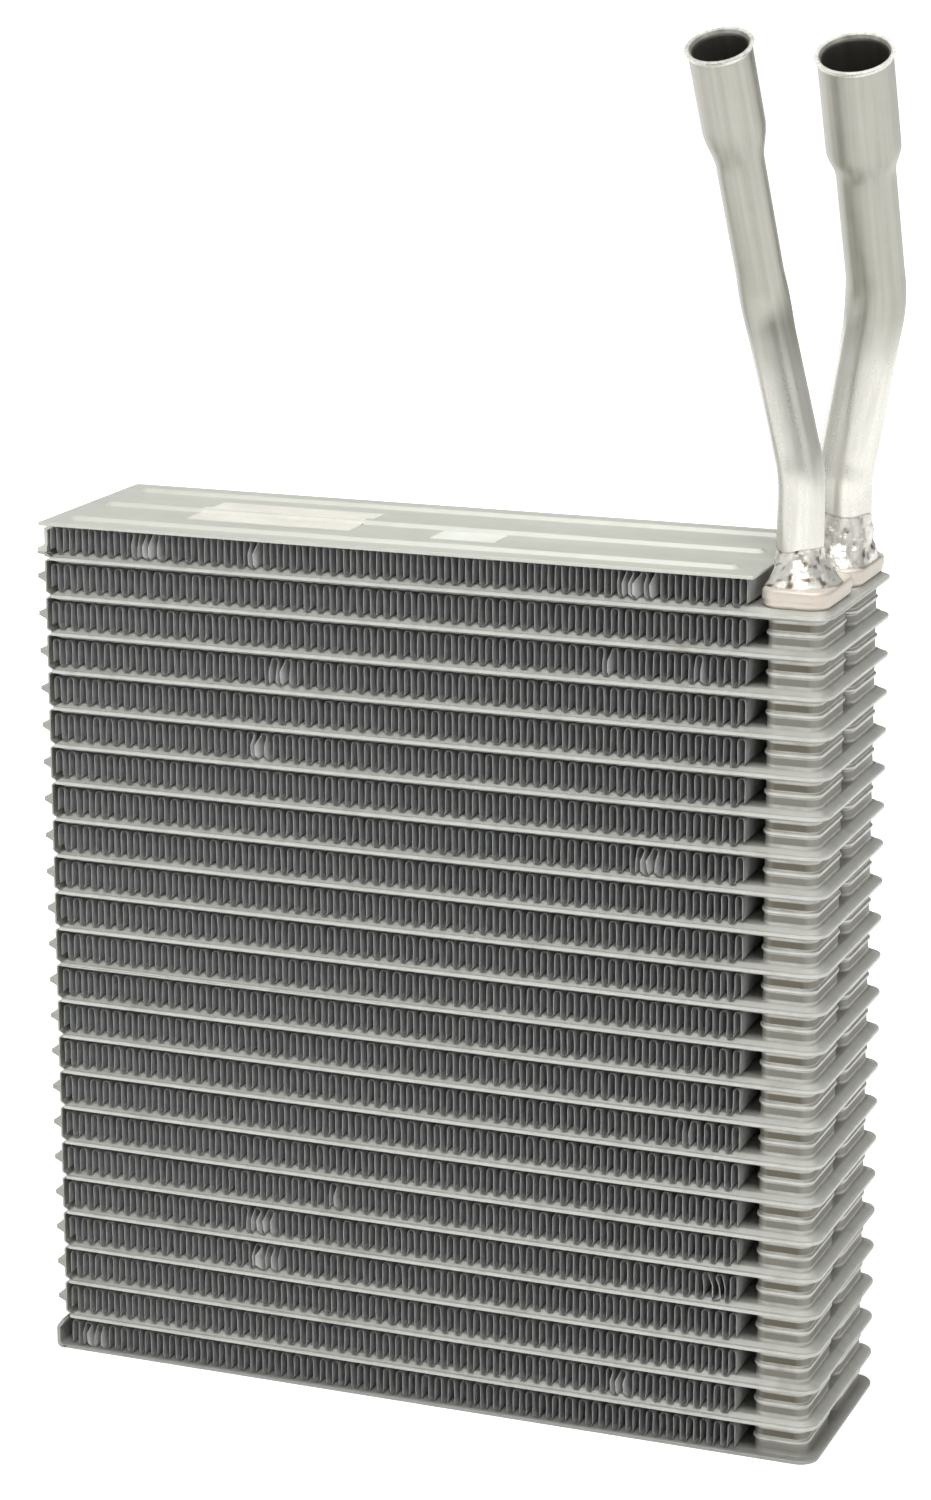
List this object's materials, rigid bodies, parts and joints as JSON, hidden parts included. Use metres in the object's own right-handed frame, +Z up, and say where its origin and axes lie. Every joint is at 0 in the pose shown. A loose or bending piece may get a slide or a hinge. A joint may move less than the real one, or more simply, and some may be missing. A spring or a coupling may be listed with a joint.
{
  "type": "evaporator core",
  "caption": "Laminated aluminium evaporator core: stacked flat tubes and corrugated air fins, drawn-cup tanks at one end, and two bent pipes with flared bell sockets.",
  "frame": {"origin": "middle of the underside of the bottom end plate, which is the face it rests on", "axes": "+X along the flat tubes towards the tank and pipes, +Y through the core from front to back, +Z up along the stack"},
  "size_m": [0.2426, 0.0877, 0.3925],
  "materials": {
    "tube_aluminium": "satin, brazed sheet",
    "end_plate_aluminium": "satin, brazed sheet",
    "fin_aluminium": "dull, brazed foil",
    "cap_aluminium": "satin, warm from brazing",
    "pipe_aluminium": "satin drawn tube, polished at the bends",
    "label_paper": "matt bare paper"
  },
  "bodies": {
    "root": {"top_end_plate": "end_plate_aluminium", "bottom_end_plate": "end_plate_aluminium", "tube_01": "tube_aluminium", "tube_02": "tube_aluminium", "tube_03": "tube_aluminium", "tube_04": "tube_aluminium", "tube_05": "tube_aluminium", "tube_06": "tube_aluminium", "tube_07": "tube_aluminium", "tube_08": "tube_aluminium", "tube_09": "tube_aluminium", "tube_10": "tube_aluminium", "tube_11": "tube_aluminium", "tube_12": "tube_aluminium", "tube_13": "tube_aluminium", "tube_14": "tube_aluminium", "tube_15": "tube_aluminium", "tube_16": "tube_aluminium", "tube_17": "tube_aluminium", "tube_18": "tube_aluminium", "tube_19": "tube_aluminium", "tube_20": "tube_aluminium", "tube_21": "tube_aluminium", "tube_22": "tube_aluminium", "fin_01": "fin_aluminium", "fin_02": "fin_aluminium", "fin_03": "fin_aluminium", "fin_04": "fin_aluminium", "fin_05": "fin_aluminium", "fin_06": "fin_aluminium", "fin_07": "fin_aluminium", "fin_08": "fin_aluminium", "fin_09": "fin_aluminium", "fin_10": "fin_aluminium", "fin_11": "fin_aluminium", "fin_12": "fin_aluminium", "fin_13": "fin_aluminium", "fin_14": "fin_aluminium", "fin_15": "fin_aluminium", "fin_16": "fin_aluminium", "fin_17": "fin_aluminium", "fin_18": "fin_aluminium", "fin_19": "fin_aluminium", "fin_20": "fin_aluminium", "fin_21": "fin_aluminium", "fin_22": "fin_aluminium", "fin_23": "fin_aluminium", "inlet_cap": "cap_aluminium", "outlet_cap": "cap_aluminium", "inlet_pipe": "pipe_aluminium", "outlet_pipe": "pipe_aluminium", "blank_label": "label_paper", "blank_sticker": "label_paper"}
  },
  "joints": []
}
